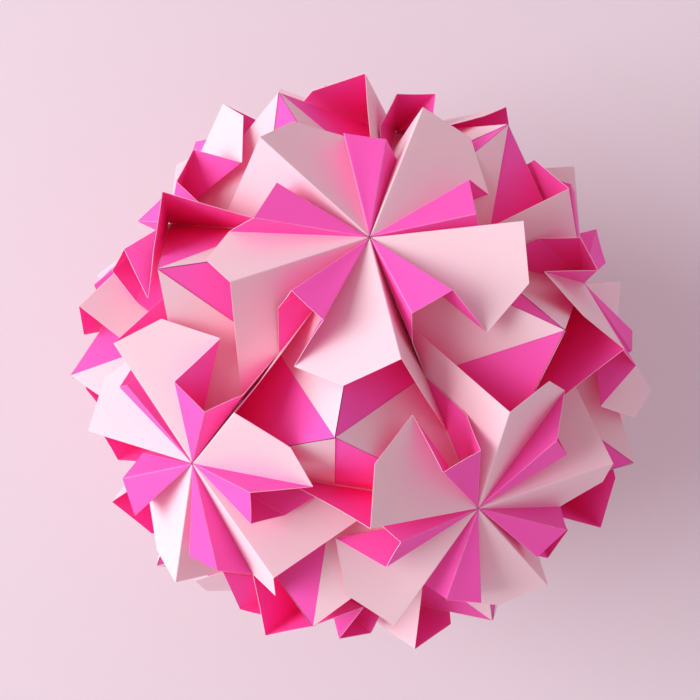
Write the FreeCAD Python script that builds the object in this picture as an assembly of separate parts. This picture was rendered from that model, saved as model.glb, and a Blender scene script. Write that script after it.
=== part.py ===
import FreeCAD, Part
import math
import os
from itertools import combinations

from FreeCAD import Vector

# Paper ball of thirty folded modules, each creased from one square sheet (millimetres, degrees).
# Twelve star points lie on the corners of an icosahedron. Each module covers one edge of it: a valley
# crease between two stars, a right-angled pyramid face on each side of the crease, and a petal at each
# end. Three modules close each pyramid, and five petals meet at each star point.

# Driving sizes
star_spacing = 75.0     # valley crease, from one star point to the next
petal_leg = 37.8        # crease from the star point to the shoulder of the petal
paper = 0.25            # the folded sheet, taken as one thickness
ridge_gap = 0.2         # between two pyramid faces along a ridge
petal_lift = 0.9        # petals start this far above the star point of the pyramids
petal_spread = 0.8      # and this far out along their own ridge, which leaves the small hole
petal_nose = 1.5        # and from there each petal is blunt for this length
foot_lift = 1.0         # bare strip between the foot of a flap and the valley below it

# Folds of a petal
half_wedge = 22.5       # the sheet round a star point is creased in steps of this angle
side_stand = 69.5       # side face, up from the ground plane of its valley
kite_fold = 96.0        # side face over to the kite
pleat_fold = 128.5      # kite back up to the inner face of the flap
foot_clearance = 4.6    # foot of the flap, away from the side face that stands behind it

# Stance: the ball lies on three petal shoulders, with its highest star point towards this side
top_star_azimuth = 95.0

golden = (1 + math.sqrt(5)) / 2
wedge = 2 * half_wedge


def unit(vector):
    """Copy of a vector at length one."""
    return Vector(vector).normalize()


def turned(vector, axis, angle):
    """Vector turned round an axis through the origin."""
    return FreeCAD.Rotation(axis, angle).multVec(vector)


def mitre(normals):
    """Offset at a corner that keeps one unit from each of its one or two faces."""
    total = Vector()
    for normal in normals:
        total = total + normal
    return total / (total.dot(normals[0]))


def face_normal(points):
    """Unit normal of a flat face, by the right-hand rule."""
    return unit((points[1] - points[0]).cross(points[2] - points[0]))


def polygon(points):
    """Flat face from its corners."""
    return Part.Face(Part.makePolygon(points + points[:1]))


def folded_sheet(corners, faces):
    """Solid sheet of the paper's thickness, mitred at its creases.

    corners are named points on the middle of the sheet, and each face is a list of their names.
    """
    normals = {}
    edges = []
    for face in faces:
        normal = face_normal([corners[name] for name in face])
        for start, end in zip(face, face[1:] + face[:1]):
            edges.append((start, end))
            normals.setdefault(start, []).append(normal)
    half = paper / 2
    upper = {name: corners[name] + mitre(normals[name]) * half for name in normals}
    lower = {name: corners[name] - mitre(normals[name]) * half for name in normals}
    skin = []
    for face in faces:
        skin.append(polygon([upper[name] for name in face]))
        skin.append(polygon([lower[name] for name in reversed(face)]))
    for start, end in edges:
        if (end, start) not in edges:
            skin.append(polygon([upper[start], lower[start], lower[end]]))
            skin.append(polygon([upper[start], lower[end], upper[end]]))
    return Part.Solid(Part.makeShell(skin))


# One module in its own frame: the ball's centre is the origin, the valley runs along X at its height
# above the centre, and the star points of the module are its two ends. Seen from outside, the petal at
# the near star lies on the right of the valley, which is the -Y side.

valley_height = star_spacing * golden / 2
near_star = Vector(-star_spacing / 2, 0, valley_height)
far_star = Vector(star_spacing / 2, 0, valley_height)
side_star = Vector(0, -valley_height, star_spacing / 2)


def pyramid_peak():
    """Peak of the right-angled pyramid over the near, far and side stars."""
    middle = (near_star + far_star + side_star) / 3
    height = math.sqrt(star_spacing ** 2 / 2 - (near_star - middle).Length ** 2)
    return middle + unit(middle) * height


def pyramid_faces():
    """The two pyramid faces, one sheet with the valley crease between them."""
    inset = (ridge_gap + paper) / 2 * math.sqrt(2)
    foot = Vector(0, 0, valley_height)
    peak = pyramid_peak()
    right = peak - unit(peak - foot) * inset
    corners = {
        "near": near_star + Vector(inset, 0, 0),
        "far": far_star - Vector(inset, 0, 0),
        "right": right,
        "left": Vector(0, -right.y, right.z),
    }
    return folded_sheet(corners, [["near", "right", "far"], ["near", "far", "left"]])


def leaning(level, up, angle):
    """Direction at an angle from level towards up, which are square to each other."""
    return level * math.cos(math.radians(angle)) + up * math.sin(math.radians(angle))


def petal_corners():
    """Named corners of the petal at the near star, on the middle of its sheet."""
    out = unit(near_star)
    ridge = unit(pyramid_peak() - near_star)
    level = unit(ridge - out * ridge.dot(out))
    start = near_star + out * petal_lift + level * petal_spread

    # Directions of the creases, in turn round the star point, from the valley up to the flap
    valley = Vector(1, 0, 0)
    rise = leaning(Vector(0, -1, 0), Vector(0, 0, 1), side_stand)
    shoulder = leaning(valley, rise, wedge)
    normal = turned(unit(valley.cross(shoulder)), shoulder, kite_fold)
    hem = turned(shoulder, normal, wedge)
    middle = turned(shoulder, normal, half_wedge)
    normal = turned(normal, hem, -pleat_fold)
    inner = turned(hem, normal, half_wedge)

    # The foot stands on the valley of the next module, beside the side face of that module
    base = unit(side_star - near_star)
    up = unit(side_star + near_star)
    foot_rise = leaning(up.cross(base), up, 180 - side_stand - foot_clearance)
    front = leaning(base, foot_rise, half_wedge)

    # The top crease is one step from the inner crease and one step from the front crease
    spread = inner.getAngle(front)
    along = math.cos(math.radians(half_wedge)) / (1 + math.cos(spread))
    across = math.sqrt(1 - 2 * along ** 2 * (1 + math.cos(spread))) / math.sin(spread)
    top = (inner + front) * along + front.cross(inner) * across

    # Lengths on the flat sheet: the raw edge runs square to the shoulder crease and to the top crease
    short_leg = petal_leg * math.cos(math.radians(wedge))
    valley_leg = petal_leg / math.cos(math.radians(wedge))
    slant = math.cos(math.radians(half_wedge))
    foot_start = foot_lift / math.sin(math.radians(half_wedge))

    # The side face reaches down to the middle of the pyramid face below it
    face_slope = pyramid_peak() - Vector(0, 0, valley_height)
    slope = -face_slope.z / face_slope.y
    drop = (start.z - valley_height + slope * start.y) / (rise.z + slope * rise.y)

    return {
        "valley_start": start + valley * petal_nose - rise * drop,
        "valley_end": start + valley * valley_leg - rise * drop,
        "tip": start + valley * valley_leg,
        "shoulder": start + shoulder * petal_leg,
        "shoulder_start": start + shoulder * petal_nose,
        "kite": start + middle * petal_leg / slant,
        "hem": start + hem * petal_leg,
        "hem_start": start + hem * petal_nose,
        "inner": start + inner * short_leg / slant,
        "inner_start": start + inner * petal_nose,
        "top": start + top * short_leg,
        "top_start": start + top * petal_nose,
        "front": start + front * short_leg / slant,
        "front_start": start + front * foot_start,
        "foot": start + base * (petal_leg - foot_lift) + foot_rise * foot_lift,
    }


def petal():
    """Petal at the near star: side face, kite, inner face, top and front of the flap, and its foot."""
    faces = [
        ["valley_start", "valley_end", "tip", "shoulder", "shoulder_start"],
        ["shoulder_start", "shoulder", "kite", "hem", "hem_start"],
        ["hem_start", "hem", "inner", "inner_start"],
        ["inner_start", "inner", "top", "top_start"],
        ["top_start", "top", "front", "front_start"],
        ["front_start", "front", "foot"],
    ]
    return folded_sheet(petal_corners(), faces)


def module():
    """Pyramid faces with a petal at each end, the second one half a turn round."""
    near_petal = petal()
    far_petal = near_petal.copy()
    far_petal.rotate(Vector(), Vector(0, 0, 1), 180)
    solid, = pyramid_faces().fuse([near_petal, far_petal]).removeSplitter().Solids
    return solid


def placed(shape, start, end):
    """Module set on the edge from one star point to the next."""
    x = unit(end - start)
    z = unit(start + end)
    y = z.cross(x)
    matrix = FreeCAD.Matrix(x.x, y.x, z.x, 0, x.y, y.y, z.y, 0, x.z, y.z, z.z, 0, 0, 0, 0, 1)
    return shape.transformed(matrix)


def resting_turn():
    """Turn of the module's frame that lays the ball on both shoulders of a module and on one of the next."""
    shoulder = petal_corners()["shoulder"]
    across = Vector(-shoulder.x, -shoulder.y, shoulder.z)
    beside = turned(shoulder, pyramid_peak(), -120)
    down = unit((across - shoulder).cross(beside - shoulder))
    if down.dot(shoulder) < 0:
        down = -down
    return FreeCAD.Rotation(down, Vector(0, 0, -1))


def star_points():
    """Corners of the icosahedron, as the ball lies."""
    half = star_spacing / 2
    stars = []
    for one in (-half, half):
        for two in (-half * golden, half * golden):
            stars += [Vector(one, 0, two), Vector(0, two, one), Vector(two, one, 0)]
    turn = resting_turn()
    stars = [turn.multVec(star) for star in stars]
    highest = max(stars, key=lambda star: star.z)
    azimuth = math.degrees(math.atan2(highest.y, highest.x))
    return [turned(star, Vector(0, 0, 1), top_star_azimuth - azimuth) for star in stars]


def ball():
    """All modules, standing on the ground plane with their box centred over the origin."""
    shape = module()
    pairs = [pair for pair in combinations(star_points(), 2)
             if (pair[0] - pair[1]).Length < star_spacing + paper]
    modules = [placed(shape, start, end) for start, end in pairs]
    box = Part.makeCompound(modules).BoundBox
    shift = Vector(-box.Center.x, -box.Center.y, -box.ZMin)
    for solid in modules:
        solid.translate(shift)
    return modules


def main():
    os.makedirs("parts", exist_ok=True)
    for number, solid in enumerate(ball(), start=1):
        solid.exportStep(f"parts/petal_module_{number:02d}.step")


main()
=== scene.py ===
import math
import random
from itertools import combinations

import bpy
from mathutils import Matrix, Quaternion, Vector


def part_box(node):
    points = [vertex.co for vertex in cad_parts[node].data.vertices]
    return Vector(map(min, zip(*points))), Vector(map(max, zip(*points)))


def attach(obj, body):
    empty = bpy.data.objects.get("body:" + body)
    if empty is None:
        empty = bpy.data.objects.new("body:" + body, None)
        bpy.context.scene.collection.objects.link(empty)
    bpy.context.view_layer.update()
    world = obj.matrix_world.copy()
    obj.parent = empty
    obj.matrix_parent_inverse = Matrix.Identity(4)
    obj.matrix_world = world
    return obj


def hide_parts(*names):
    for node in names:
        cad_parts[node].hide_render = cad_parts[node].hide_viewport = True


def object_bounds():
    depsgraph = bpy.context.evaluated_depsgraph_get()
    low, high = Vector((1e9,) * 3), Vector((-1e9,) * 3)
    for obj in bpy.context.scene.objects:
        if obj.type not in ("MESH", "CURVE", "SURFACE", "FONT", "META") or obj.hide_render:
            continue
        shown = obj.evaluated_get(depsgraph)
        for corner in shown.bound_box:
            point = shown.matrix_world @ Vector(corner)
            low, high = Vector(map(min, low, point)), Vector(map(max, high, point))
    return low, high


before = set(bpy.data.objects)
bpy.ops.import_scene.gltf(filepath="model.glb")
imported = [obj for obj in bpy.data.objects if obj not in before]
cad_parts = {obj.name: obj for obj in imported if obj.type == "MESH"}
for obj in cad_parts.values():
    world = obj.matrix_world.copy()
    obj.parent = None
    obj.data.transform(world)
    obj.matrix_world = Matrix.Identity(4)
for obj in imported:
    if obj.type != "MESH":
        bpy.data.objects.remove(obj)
cad_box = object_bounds()

# Sizes of the ball, in metres and degrees, as in the solids
mm = 0.001
star_spacing = 75 * mm      # valley crease, from one star point to the next
petal_leg = 37.8 * mm       # crease from the star point to the shoulder of a petal
petal_lift = 0.9 * mm       # petals start this far above the star point of the pyramids
petal_spread = 0.8 * mm     # and this far out, which leaves the small hole
half_wedge = 22.5           # the sheet round a star point is creased in steps of this angle
wedge = 2 * half_wedge
side_stand = 69.5           # side face of a petal, up from the ground plane of its valley
top_star_azimuth = 95.0     # bearing of the highest star point
golden = (1 + math.sqrt(5)) / 2

# How the paper itself is drawn
paper = 0.13 * mm           # thickness of the folded sheet
crease_width = 0.3 * mm     # half the width of a rounded crease
closing = 0.6 * mm          # petals are pushed in by this much at the star point, past the solids
petal_nose = 0.35 * mm      # blunt start of the creases at the star point
foot_lift = 0.1 * mm        # bare strip between the foot of a flap and the valley below it
layer_step = 0.22 * mm      # the pocket layer lies this far above the tab tucked under it
ridge_gap = 0.02 * mm       # between a pyramid face and its ridge
star_clearance = 0.2 * mm   # between a pyramid face and its star point
rows = 12                   # mesh rows along a crease
columns = 6                 # mesh columns across a face
no_area = 1e-14             # a mesh face smaller than this, in square metres, has no direction
seed = 30

# The folds that set how a petal stands, and the room between its foot and the side face behind it
usual_folds = {"stand": side_stand, "kite": 96.0, "pleat": 128.5, "clearance": 2.4}
fold_spread = 1.2           # hand folding varies each of them by about this much

# How far the middle of a face may bow: side, kite, inner, top, front, foot, and the pyramid faces
face_bows = [0.7 * mm, 0.7 * mm, 0.25 * mm, 0.35 * mm, 0.25 * mm, 0.0]
no_bows = [0.0] * len(face_bows)
pyramid_bow = 0.3 * mm

# Petals that the photo shows folded otherwise: which of the three front stars, the bearing of the
# petal's valley in degrees, anticlockwise from the right of the photo, and what its folds add
own_folds = [
    ("upper", -12, {"stand": 9, "pleat": -28, "clearance": 1.5}),
    ("upper", -68, {"stand": -4, "kite": 1, "pleat": 5}),
    ("upper", 77, {"stand": 4, "kite": 10, "pleat": -10, "clearance": 9}),
    ("upper", 176, {"kite": 5}),
    ("upper", -128, {"stand": -6, "kite": 5, "pleat": 6}),
    ("left", 96, {"stand": -4, "clearance": -1}),
    ("left", -9, {"stand": -7, "kite": -6}),
    ("left", 161, {"stand": -14}),
    ("right", 65, {"stand": -6, "kite": -2, "pleat": -8}),
    ("right", 112, {"stand": 3, "pleat": 5, "clearance": -1}),
    ("right", -139, {"stand": -8, "kite": 2, "pleat": 4, "clearance": 10}),
]


def unit(vector):
    return Vector(vector).normalized()


def turned(vector, axis, angle):
    """Vector turned round an axis through the origin, in degrees."""
    return Quaternion(axis, math.radians(angle)) @ vector


def cos(angle):
    return math.cos(math.radians(angle))


def sin(angle):
    return math.sin(math.radians(angle))


# One module in its own frame: the ball's centre is the origin and the valley runs along X, with a star
# point at each end. Seen from outside, the petal at the near star lies on the -Y side.

valley_height = star_spacing * golden / 2
near_star = Vector((-star_spacing / 2, 0, valley_height))
far_star = Vector((star_spacing / 2, 0, valley_height))
side_star = Vector((0, -valley_height, star_spacing / 2))
valley_middle = Vector((0, 0, valley_height))


def pyramid_peak():
    """Peak of the right-angled pyramid over the near, far and side stars."""
    middle = (near_star + far_star + side_star) / 3
    height = math.sqrt(star_spacing ** 2 / 2 - (near_star - middle).length ** 2)
    return middle + unit(middle) * height


peak = pyramid_peak()


class Sheet:
    """Middle surface of folded paper: points, faces with the finish of each side, and crease marks.

    rim is the finish of the sheet's border, and mitres are offsets of the outer skin, for half a
    thickness of one, where two sheets meet at an angle.
    """

    def __init__(self, rim="edge"):
        self.points = []
        self.creased = []
        self.faces = []
        self.rim = rim
        self.mitres = {}

    def point(self, place, creased=0.0, mitre=None):
        self.points.append(Vector(place))
        self.creased.append(creased)
        if mitre is not None:
            self.mitres[len(self.points) - 1] = mitre
        return len(self.points) - 1

    def grid(self, lines, outside, inside):
        """Faces between neighbouring lines of points, all lines being equally long."""
        for left, right in zip(lines, lines[1:]):
            for k in range(len(left) - 1):
                self.faces.append(((right[k], right[k + 1], left[k + 1], left[k]), outside, inside))

    def turned_half(self):
        """The same sheet turned half a turn round Z."""
        copy = Sheet(self.rim)
        copy.points = [Vector((-p.x, -p.y, p.z)) for p in self.points]
        copy.creased = list(self.creased)
        copy.faces = list(self.faces)
        copy.mitres = {k: Vector((-m.x, -m.y, m.z)) for k, m in self.mitres.items()}
        return copy


def steps(count, first=0.0, last=1.0):
    """Even steps from first to last, both included."""
    return [first + (last - first) * k / count for k in range(count + 1)]


def crease_line(sheet, start, direction, first, last, roundness):
    """Points along a crease, pulled in where the paper rounds it."""
    return [sheet.point(start + direction * (first + (last - first) * t) + roundness, 1.0)
            for t in steps(rows)]


def fan_face(sheet, start, line_a, line_b, dir_a, dir_b, first, reach, bow, outside, inside):
    """Face between two creases that leave the star point.

    reach(angle) is how far the sheet runs at that angle from the first crease, and bow is how far the
    middle of the face stands off its flat plane.
    """
    axis = unit(dir_a.cross(dir_b))
    whole = math.degrees(dir_a.angle(dir_b))
    lines = [line_a]
    between = steps(columns, 1 / (columns + 1), columns / (columns + 1))[:columns]
    for share in [0.0] + between + [1.0]:
        line = []
        for t in steps(rows):
            rough = first + (reach(whole * share) - first) * t
            margin = min(math.degrees(crease_width / rough), 0.25 * whole)
            angle = margin + (whole - 2 * margin) * share
            distance = first + (reach(angle) - first) * t
            swell = bow * 4 * (angle / whole) * (1 - angle / whole) * math.sin(math.pi * min(1, t * 0.8))
            place = start + turned(dir_a, axis, angle) * distance + axis * swell
            line.append(sheet.point(place, 0.0))
        lines.append(line)
    lines.append(line_b)
    sheet.grid(lines, outside, inside)


def leaning(level, up, angle):
    """Direction at an angle from level towards up, which are square to each other."""
    return level * cos(angle) + up * sin(angle)


def petal_start(spread):
    """Point at the star from which a petal's creases run."""
    out = unit(near_star)
    ridge = unit(peak - near_star)
    level = unit(ridge - out * ridge.dot(out))
    return near_star + out * petal_lift + level * spread


def petal_directions(folds):
    """Unit directions of a petal's creases, in turn round the star point."""
    valley = Vector((1, 0, 0))
    rise = leaning(Vector((0, -1, 0)), Vector((0, 0, 1)), folds["stand"])
    shoulder = leaning(valley, rise, wedge)
    normal = turned(unit(valley.cross(shoulder)), shoulder, folds["kite"])
    hem = turned(shoulder, normal, wedge)
    normal = turned(normal, hem, -folds["pleat"])
    inner = turned(hem, normal, half_wedge)

    # The foot stands on the valley of the next module, beside the side face of that module
    base = unit(side_star - near_star)
    up = unit(side_star + near_star)
    foot_rise = leaning(up.cross(base), up, 180 - side_stand - folds["clearance"])
    front = leaning(base, foot_rise, half_wedge)

    # The top crease is one step from the inner crease and one step from the front crease
    spread = inner.angle(front)
    along = cos(half_wedge) / (1 + math.cos(spread))
    across = math.sqrt(max(0.0, 1 - 2 * along ** 2 * (1 + math.cos(spread)))) / math.sin(spread)
    top = (inner + front) * along + front.cross(inner) * across
    return {"valley": valley, "shoulder": shoulder, "hem": hem, "inner": inner, "top": top,
            "front": front, "base": base, "rise": rise, "foot_rise": foot_rise}


def petal(folds, bows):
    """Petal at the near star: side face, kite, inner face, top and front of the flap, and its foot."""
    start = petal_start(petal_spread - closing)
    way = petal_directions(folds)
    short_leg = petal_leg / math.sqrt(2)

    def inward(before, crease, after):
        """Pull of a rounded crease towards the inside of its fold."""
        first = unit(way[before].cross(way[crease]))
        second = unit(way[crease].cross(way[after]))
        fold = first.angle(second)
        away = unit(first + second)
        towards_before = way[before] - way[crease] * way[before].dot(way[crease])
        if away.dot(towards_before) > 0:
            away = -away
        return -away * (crease_width * math.tan(fold / 4))

    sheet = Sheet()
    reach = {"valley": petal_leg * math.sqrt(2), "shoulder": petal_leg, "hem": petal_leg,
             "inner": short_leg / cos(half_wedge), "top": short_leg, "front": short_leg / cos(half_wedge),
             "base": petal_leg}
    lines = {}
    for before, crease, after in [("valley", "shoulder", "hem"), ("shoulder", "hem", "inner"),
                                  ("hem", "inner", "top"), ("inner", "top", "front"),
                                  ("top", "front", "base")]:
        lines[crease] = crease_line(sheet, start, way[crease], petal_nose, reach[crease],
                                    inward(before, crease, after))

    # The side face reaches down to the pyramid face below it
    face_slope = peak - valley_middle
    slope = -face_slope.z / face_slope.y
    drop = (start.z - valley_height + slope * start.y) / (way["rise"].z + slope * way["rise"].y)
    low = -way["rise"] * drop
    lines["valley"] = crease_line(sheet, start, way["valley"], petal_nose, reach["valley"], Vector())
    skirt = crease_line(sheet, start + low, way["valley"], petal_nose, reach["valley"], Vector())
    for k in lines["valley"] + skirt:
        sheet.creased[k] = 0.0
    sheet.grid([skirt, lines["valley"]], "pale", "hot")

    # The foot stays a little above the valley of the next module
    rise = way["foot_rise"] * foot_lift
    lines["base"] = crease_line(sheet, start + rise, way["base"], petal_nose, reach["base"], Vector())

    fan_face(sheet, start, lines["valley"], lines["shoulder"], way["valley"], way["shoulder"], petal_nose,
             lambda angle: petal_leg / cos(wedge - angle), bows[0], "pale", "hot")
    fan_face(sheet, start, lines["shoulder"], lines["hem"], way["shoulder"], way["hem"], petal_nose,
             lambda angle: petal_leg / cos(min(angle, wedge - angle)), bows[1], "pale", "hot")
    fan_face(sheet, start, lines["hem"], lines["inner"], way["hem"], way["inner"], petal_nose,
             lambda angle: short_leg / cos(wedge - angle), bows[2], "hot", "hot")
    fan_face(sheet, start, lines["inner"], lines["top"], way["inner"], way["top"], petal_nose,
             lambda angle: short_leg / cos(half_wedge - angle), bows[3], "hot", "hot")
    fan_face(sheet, start, lines["top"], lines["front"], way["top"], way["front"], petal_nose,
             lambda angle: short_leg / cos(angle), bows[4], "hot", "hot")
    fan_face(sheet, start, lines["front"], lines["base"], way["front"], way["base"], petal_nose,
             lambda angle: short_leg / cos(half_wedge + angle), bows[5], "hot", "hot")
    return sheet


def pyramid_half(bow):
    """Pyramid face on the -Y side: a hot half by the near star and the pale pocket half by the far star."""
    normal = unit((peak - valley_middle).cross(far_star - near_star))
    sheets = []
    for end, side, lift, way_round in [(near_star, "hot", 0.0, 120), (far_star, "pale", layer_step, -120)]:
        sheet = Sheet(rim=side)
        ridge_mitre = normal + turned(normal, peak, way_round)
        corner = end - unit(end - valley_middle) * star_clearance
        ridge_end = peak - unit(peak - valley_middle) * ridge_gap
        lines = []
        for share in steps(rows):
            line = []
            for t in steps(rows):
                low = valley_middle.lerp(corner, share)
                high = ridge_end.lerp(corner, share)
                swell = bow * math.sin(math.pi * t) * math.sin(math.pi * share)
                place = low.lerp(high, t) + normal * (lift * (1 - share) + swell)
                line.append(sheet.point(place, mitre=ridge_mitre if t == 1.0 else None))
            lines.append(line)
        if end is far_star:
            lines.reverse()
        sheet.grid(lines, side, "hot")
        sheets.append(sheet)
    return sheets


def thick_mesh(name, sheets, turn):
    """Mesh of sheets given the paper's thickness, with pale, hot and cut-edge finishes."""
    points = []
    creased = []
    faces = []
    finishes = []
    sharp = []
    finish_index = {"pale": 0, "hot": 1, "edge": 2}
    for sheet in sheets:
        normals = [Vector() for _ in sheet.points]
        edges = {}
        for corners, _, _ in sheet.faces:
            a, b, c, d = [sheet.points[k] for k in corners]
            normal = (c - a).cross(d - b)
            if normal.length < no_area:
                continue
            for k in corners:
                normals[k] += unit(normal)
            for pair in zip(corners, corners[1:] + corners[:1]):
                edges[pair] = True
        base = len(points)
        count = len(sheet.points)
        for side in (0.5, -0.5):
            for k, place in enumerate(sheet.points):
                offset = sheet.mitres.get(k, unit(normals[k]))
                points.append(turn @ (place + offset * paper * side))
                creased.append(sheet.creased[k])
        for corners, outside, inside in sheet.faces:
            faces.append([base + k for k in corners])
            finishes.append(finish_index[outside])
            faces.append([base + count + k for k in reversed(corners)])
            finishes.append(finish_index[inside])
        for start, end in edges:
            if (end, start) not in edges:
                faces.append([base + end, base + start, base + count + start, base + count + end])
                finishes.append(finish_index[sheet.rim])
                sharp.append((base + start, base + end))
                sharp.append((base + count + start, base + count + end))
    mesh = bpy.data.meshes.new(name)
    mesh.from_pydata(points, [], faces)
    mesh.polygons.foreach_set("material_index", finishes)
    mesh.shade_smooth()
    # Crease points, along which the materials paint a highlight
    mark = mesh.attributes.new("crease", "FLOAT", "POINT")
    mark.data.foreach_set("value", creased)
    cut = mesh.attributes.new("sharp_edge", "BOOLEAN", "EDGE")
    sharp_pairs = {frozenset(pair) for pair in sharp}
    cut.data.foreach_set("value", [frozenset(e.vertices) in sharp_pairs for e in mesh.edges])
    mesh.validate()
    return mesh


def resting_turn():
    """Turn that lays the ball on both shoulders of a module and on one shoulder of the next."""
    shoulder = petal_start(petal_spread) + petal_directions(usual_folds)["shoulder"] * petal_leg
    across = Vector((-shoulder.x, -shoulder.y, shoulder.z))
    beside = turned(shoulder, peak, -120)
    down = unit((across - shoulder).cross(beside - shoulder))
    if down.dot(shoulder) < 0:
        down = -down
    return down.rotation_difference(Vector((0, 0, -1)))


def star_points():
    """Corners of the icosahedron, as the ball lies."""
    half = star_spacing / 2
    stars = []
    for one in (-half, half):
        for two in (-half * golden, half * golden):
            stars += [Vector((one, 0, two)), Vector((0, two, one)), Vector((two, one, 0))]
    turn = resting_turn()
    stars = [turn @ star for star in stars]
    highest = max(stars, key=lambda star: star.z)
    azimuth = math.degrees(math.atan2(highest.y, highest.x))
    return [turned(star, Vector((0, 0, 1)), top_star_azimuth - azimuth) for star in stars]


def front_stars(stars):
    """The three highest star points, named by their places in the picture."""
    highest = sorted(stars, key=lambda star: -star.z)[:3]
    upper = max(highest, key=lambda star: star.y)
    left, right = sorted([star for star in highest if star is not upper], key=lambda star: star.x)
    return {"upper": upper, "left": left, "right": right}


def ball_centre():
    """Centre of the ball in the frame: the middle of the solids' surface, which turns into itself."""
    total = 0.0
    middle = Vector()
    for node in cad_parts.values():
        for face in node.data.polygons:
            total += face.area
            middle += face.center * face.area
    return middle / total


def paper_fibre_group():
    """Fine fibres of the sheet: a height for bump and a faint mottling of the colour."""
    group = bpy.data.node_groups.new("paper_fibre", "ShaderNodeTree")
    group.interface.new_socket("Colour", in_out="INPUT", socket_type="NodeSocketColor")
    group.interface.new_socket("Mottling", in_out="INPUT", socket_type="NodeSocketFloat")
    group.interface.new_socket("Colour", in_out="OUTPUT", socket_type="NodeSocketColor")
    group.interface.new_socket("Height", in_out="OUTPUT", socket_type="NodeSocketFloat")
    nodes, links = group.nodes, group.links
    given = nodes.new("NodeGroupInput")
    result = nodes.new("NodeGroupOutput")
    place = nodes.new("ShaderNodeTexCoord")
    fibres = nodes.new("ShaderNodeTexNoise")
    fibres.inputs["Scale"].default_value = 2600
    fibres.inputs["Detail"].default_value = 3
    broad = nodes.new("ShaderNodeTexNoise")
    broad.inputs["Scale"].default_value = 45
    broad.inputs["Detail"].default_value = 4
    shade = nodes.new("ShaderNodeMapRange")
    shade.inputs["From Min"].default_value = 0.3
    shade.inputs["From Max"].default_value = 0.7
    shade.inputs["To Min"].default_value = -1
    shade.inputs["To Max"].default_value = 1
    amount = nodes.new("ShaderNodeMath")
    amount.operation = "MULTIPLY_ADD"
    amount.inputs[2].default_value = 1.0
    tint = nodes.new("ShaderNodeVectorMath")
    tint.operation = "SCALE"
    links.new(place.outputs["Object"], fibres.inputs["Vector"])
    links.new(place.outputs["Object"], broad.inputs["Vector"])
    links.new(broad.outputs["Fac"], shade.inputs["Value"])
    links.new(shade.outputs["Result"], amount.inputs[0])
    links.new(given.outputs["Mottling"], amount.inputs[1])
    links.new(given.outputs["Colour"], tint.inputs[0])
    links.new(amount.outputs["Value"], tint.inputs["Scale"])
    links.new(tint.outputs["Vector"], result.inputs["Colour"])
    links.new(fibres.outputs["Fac"], result.inputs["Height"])
    return group


def painted_crease_highlight_group():
    """Painted highlight: a lighter line along each crease, standing in for the light that catches the
    rounded fold.
    """
    group = bpy.data.node_groups.new("painted_crease_highlight", "ShaderNodeTree")
    group.interface.new_socket("Colour", in_out="INPUT", socket_type="NodeSocketColor")
    group.interface.new_socket("Highlight_colour", in_out="INPUT", socket_type="NodeSocketColor")
    group.interface.new_socket("Highlight_amount", in_out="INPUT", socket_type="NodeSocketFloat")
    group.interface.new_socket("Colour", in_out="OUTPUT", socket_type="NodeSocketColor")
    nodes, links = group.nodes, group.links
    given = nodes.new("NodeGroupInput")
    result = nodes.new("NodeGroupOutput")
    mark = nodes.new("ShaderNodeAttribute")
    mark.attribute_name = "crease"
    place = nodes.new("ShaderNodeTexCoord")
    # Patchy strength along the painted crease highlight
    highlight_patches = nodes.new("ShaderNodeTexNoise")
    highlight_patches.inputs["Scale"].default_value = 500
    uneven = nodes.new("ShaderNodeMath")
    uneven.operation = "MULTIPLY"
    amount = nodes.new("ShaderNodeMath")
    amount.operation = "MULTIPLY"
    amount.use_clamp = True
    # Mixes the painted highlight colour into the paper's colour
    mix = nodes.new("ShaderNodeMix")
    mix.data_type = "RGBA"
    links.new(place.outputs["Object"], highlight_patches.inputs["Vector"])
    links.new(mark.outputs["Fac"], uneven.inputs[0])
    links.new(highlight_patches.outputs["Fac"], uneven.inputs[1])
    links.new(uneven.outputs["Value"], amount.inputs[0])
    links.new(given.outputs["Highlight_amount"], amount.inputs[1])
    links.new(amount.outputs["Value"], mix.inputs["Factor"])
    links.new(given.outputs["Colour"], mix.inputs["A"])
    links.new(given.outputs["Highlight_colour"], mix.inputs["B"])
    links.new(mix.outputs["Result"], result.inputs["Colour"])
    return group


# Colours of the paper: its two sides, and the core that shows at cut edges, which is also the colour of the
# painted highlight along creases
paper_pale = (0.92, 0.68, 0.75, 1)
paper_hot = (0.98, 0.115, 0.53, 1)
paper_core_and_crease_highlight = (0.92, 0.64, 0.76, 1)
fibre_group = paper_fibre_group()
crease_highlight_group = painted_crease_highlight_group()


def paper_material(name, colour, mottling, crease_highlight, roughness, specular):
    """Two-tone craft paper, seen from one side, with a painted highlight along its creases."""
    material = bpy.data.materials.new(name)
    material.use_nodes = True
    nodes, links = material.node_tree.nodes, material.node_tree.links
    surface = nodes["Principled BSDF"]
    surface.inputs["Roughness"].default_value = roughness
    surface.inputs["Specular IOR Level"].default_value = specular
    fibre = nodes.new("ShaderNodeGroup")
    fibre.node_tree = fibre_group
    fibre.inputs["Colour"].default_value = colour
    fibre.inputs["Mottling"].default_value = mottling
    # Painted highlight along the creases, mixed into the base colour
    crease = nodes.new("ShaderNodeGroup")
    crease.node_tree = crease_highlight_group
    crease.inputs["Highlight_colour"].default_value = paper_core_and_crease_highlight
    crease.inputs["Highlight_amount"].default_value = crease_highlight
    bump = nodes.new("ShaderNodeBump")
    bump.inputs["Strength"].default_value = 0.12
    bump.inputs["Distance"].default_value = 0.03 * mm
    links.new(fibre.outputs["Colour"], crease.inputs["Colour"])
    links.new(crease.outputs["Colour"], surface.inputs["Base Color"])
    links.new(fibre.outputs["Height"], bump.inputs["Height"])
    links.new(bump.outputs["Normal"], surface.inputs["Normal"])
    return material


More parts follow.
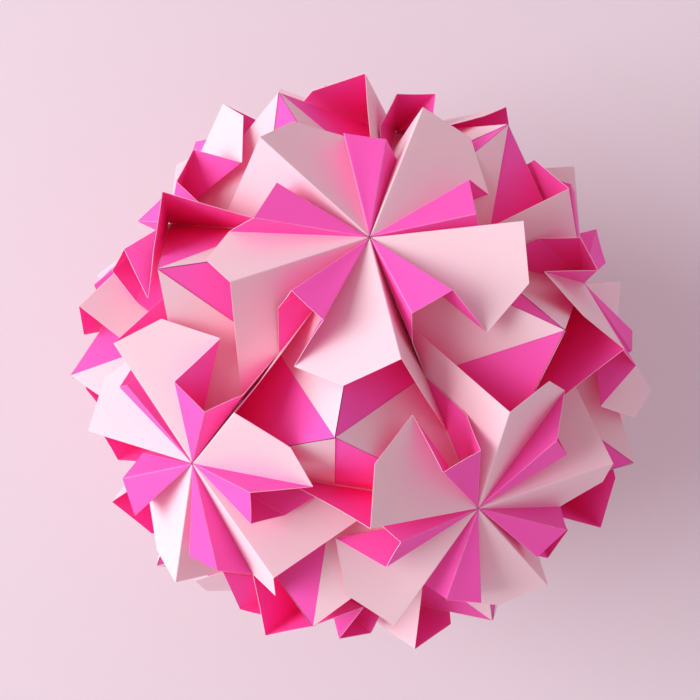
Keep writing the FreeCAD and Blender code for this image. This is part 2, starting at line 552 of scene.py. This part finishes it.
# After the colour: mottling, strength of the painted crease highlight, roughness and specular
pale_side = paper_material("pale_pink_side", paper_pale, 0.02, 0.6, 0.6, 0.2)
hot_side = paper_material("hot_pink_side", paper_hot, 0.03, 0.5, 0.55, 0.12)
cut_edge = paper_material("cut_edge", paper_core_and_crease_highlight, 0.03, 0.0, 0.8, 0.2)


def folds_of_petal(star, other, named_stars, draw):
    """Folds of the petal at a star beside its valley to another star, uneven as by hand."""
    folds = {fold: angle + draw.uniform(-fold_spread, fold_spread) for fold, angle in usual_folds.items()}
    valley = other - star
    bearing = math.degrees(math.atan2(valley.y, valley.x))
    for name, own_bearing, changes in own_folds:
        if star is named_stars[name] and abs((bearing - own_bearing + 180) % 360 - 180) < half_wedge:
            for fold, change in changes.items():
                folds[fold] += change
    return folds


def inside_box(sheet, turn):
    """True if a sheet of paper stays inside the box of the solids."""
    low, high = cad_box
    places = [turn @ point for point in sheet.points]
    return all(low[k] + paper < place[k] < high[k] - paper for place in places for k in range(3))


def module_turn(start, end):
    """Turn that lays a module on the edge from one star point to the next."""
    x = unit(end - start)
    z = unit(start + end)
    y = z.cross(x)
    return Matrix((x, y, z)).transposed()


def fold_module(number, start, end, centre, named_stars):
    """One folded sheet: its pyramid faces and a petal at each end."""
    draw = random.Random(seed + number)

    def bow(most):
        """Bow of a face, now and then the other way."""
        return draw.uniform(-0.3, 1.0) * most

    turn = Matrix.Translation(centre) @ module_turn(start, end).to_4x4()
    sheets = []
    for half_turn in (False, True):
        star, other = (end, start) if half_turn else (start, end)
        bows = [bow(most) for most in face_bows]
        tries = [petal(folds_of_petal(star, other, named_stars, draw), bows), petal(usual_folds, no_bows)]
        parts = pyramid_half(bow(pyramid_bow))
        if half_turn:
            tries = [sheet.turned_half() for sheet in tries]
            parts = [sheet.turned_half() for sheet in parts]
        varied, usual = tries
        sheets += parts + [varied if inside_box(varied, turn) else usual]
    mesh = thick_mesh(f"folded_module_{number:02d}", sheets, turn)
    for material in (pale_side, hot_side, cut_edge):
        mesh.materials.append(material)
    piece = bpy.data.objects.new(mesh.name, mesh)
    bpy.context.scene.collection.objects.link(piece)
    even = piece.modifiers.new("even_shading", "WEIGHTED_NORMAL")
    even.keep_sharp = True
    return piece


def box_middle(corners):
    low, high = corners
    return (Vector(low) + Vector(high)) / 2


def ball():
    """All thirty modules, each standing for the solid that it lies on."""
    centre = ball_centre()
    stars = star_points()
    named_stars = front_stars(stars)
    pairs = [pair for pair in combinations(stars, 2) if (pair[0] - pair[1]).length < star_spacing + paper]
    middles = {name: box_middle(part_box(name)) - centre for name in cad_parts}
    for number, (start, end) in enumerate(pairs, start=1):
        piece = fold_module(number, start, end, centre, named_stars)
        out = unit(start + end)
        node = max(middles, key=lambda name: unit(middles[name]).dot(out))
        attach(piece, "root")
        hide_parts(node)


def backdrop():
    """Plain pale floor."""
    bpy.ops.mesh.primitive_plane_add(size=60, location=(0, 0, 0))
    floor = bpy.context.object
    floor.name = "floor"
    material = bpy.data.materials.new("pale_backdrop")
    material.use_nodes = True
    surface = material.node_tree.nodes["Principled BSDF"]
    surface.inputs["Base Color"].default_value = (0.86, 0.79, 0.85, 1)
    surface.inputs["Roughness"].default_value = 0.9
    surface.inputs["Specular IOR Level"].default_value = 0.1
    floor.data.materials.append(material)


def aim(thing, place, target):
    """Stands a camera or lamp at a place, looking at a target with +Y up in its picture."""
    thing.location = place
    ahead = unit(target - place)
    right = unit(ahead.cross(Vector((0, 1, 0))))
    up = right.cross(ahead)
    turn = Matrix((right, up, -ahead)).transposed()
    thing.rotation_mode = "QUATERNION"
    thing.rotation_quaternion = turn.to_quaternion()


def soft_lamp(name, size, power, place, target):
    """Rectangular white lamp that looks at a target."""
    lamp = bpy.data.lights.new(name, "AREA")
    lamp.shape = "RECTANGLE"
    lamp.size, lamp.size_y = size
    lamp.energy = power
    thing = bpy.data.objects.new(name, lamp)
    bpy.context.scene.collection.objects.link(thing)
    aim(thing, place, target)


def studio(centre):
    """Soft light from the left of the picture and a pale surrounding, brighter low down than overhead."""
    soft_lamp("window_left", (1.8, 1.35), 34.8, centre + Vector((-1.65, 0.09, 0.87)), centre)
    world = bpy.data.worlds.new("pale_room")
    world.use_nodes = True
    nodes, links = world.node_tree.nodes, world.node_tree.links
    way = nodes.new("ShaderNodeTexCoord")
    parts = nodes.new("ShaderNodeSeparateXYZ")
    shade = nodes.new("ShaderNodeMapRange")
    shade.inputs["To Min"].default_value = 0.84
    shade.inputs["To Max"].default_value = 0.40
    links.new(way.outputs["Generated"], parts.inputs["Vector"])
    links.new(parts.outputs["Z"], shade.inputs["Value"])
    links.new(shade.outputs["Result"], nodes["Background"].inputs["Strength"])
    nodes["Background"].inputs["Color"].default_value = (1.0, 0.80, 0.86, 1)
    bpy.context.scene.world = world


def camera(centre):
    """Camera of the photo, almost straight above the ball."""
    data = bpy.data.cameras.new("photo_camera")
    data.sensor_width = 36
    data.lens = 53.7
    thing = bpy.data.objects.new("photo_camera", data)
    bpy.context.scene.collection.objects.link(thing)
    aim(thing, centre + Vector((-24.6, -1.5, 324.5)) * mm, centre + Vector((-3.3, 3.3, -0.2)) * mm)
    bpy.context.scene.camera = thing


ball()
backdrop()
middle = ball_centre()
studio(middle)
camera(middle)
bpy.context.scene.view_settings.view_transform = "Standard"

# Light is thrown from face to face many times between pink sheets
bounces = 16
bpy.context.scene.cycles.max_bounces = bounces
bpy.context.scene.cycles.diffuse_bounces = bounces
